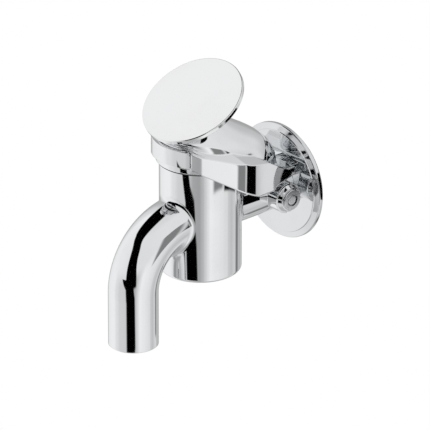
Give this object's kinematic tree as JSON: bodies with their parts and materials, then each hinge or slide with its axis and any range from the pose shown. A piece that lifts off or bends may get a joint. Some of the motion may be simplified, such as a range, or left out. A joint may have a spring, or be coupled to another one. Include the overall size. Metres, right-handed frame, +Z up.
{
  "type": "lockable tap",
  "caption": "Wall tap with a short inlet pipe, an upright body, a bent spout, a lift lever topped by a tilted round disc, and a small key lock that holds the lever shut.",
  "frame": {"origin": "the inlet's axis where it passes the wall plane, at the back of the flange's gasket", "axes": "+X to the user's right, +Y into the wall along the inlet, +Z up"},
  "size_m": [0.055, 0.1151, 0.1222],
  "materials": {
    "chrome_plate": "polished plating",
    "raw_brass": "machined",
    "stainless": "turned",
    "black_rubber": "matt"
  },
  "bodies": {
    "tap_body": {"body_casting": "chrome_plate", "wall_flange": "chrome_plate", "bonnet": "chrome_plate", "front_guard": "chrome_plate", "lock_barrel": "chrome_plate", "valve_seat": "raw_brass", "gland_nut": "raw_brass", "valve_spring": "stainless", "guard_screws": "stainless", "lock_screw": "stainless", "inlet_filter": "stainless", "flange_gasket": "black_rubber", "bonnet_washer": "black_rubber", "spindle_packing": "black_rubber"},
    "lever": {"lever": "chrome_plate", "hinge_pin": "stainless", "hinge_plug": "chrome_plate", "handle_disc": "chrome_plate", "disc_screw": "stainless"},
    "spindle": {"spindle": "raw_brass", "spindle_pin": "stainless", "valve_jumper": "raw_brass", "jumper_washer": "black_rubber", "jumper_nut": "raw_brass"},
    "lock_plug": {"lock_plug": "chrome_plate", "lock_crank": "stainless"},
    "lock_bolt": {"lock_bolt": "stainless"}
  },
  "joints": [
    {"name": "lever_lift", "type": "hinge", "parent": "tap_body", "child": "lever", "pos_m": [0, -0.0168, 0.019], "axis": [-1, 0, 0], "range_deg": [0, 8]},
    {"name": "spindle_lift", "type": "slide", "parent": "tap_body", "child": "spindle", "axis": [0, 0, 1], "range_m": [0, 0.0053], "deforming": ["valve_spring"]},
    {"name": "lock_turn", "type": "hinge", "parent": "tap_body", "child": "lock_plug", "pos_m": [0.02, -0.0136, 0], "axis": [-1, 0, 0], "range_deg": [0, 90]},
    {"name": "bolt_slide", "type": "slide", "parent": "tap_body", "child": "lock_bolt", "axis": [0, 0, 1], "range_m": [0, 0.00259]}
  ],
  "couplings": [
    {"joint": "spindle_lift", "follows": "lever_lift", "m_per_rad": 0.0358},
    {"joint": "lock_turn", "follows": "bolt_slide", "rad_per_m": 606.06}
  ]
}
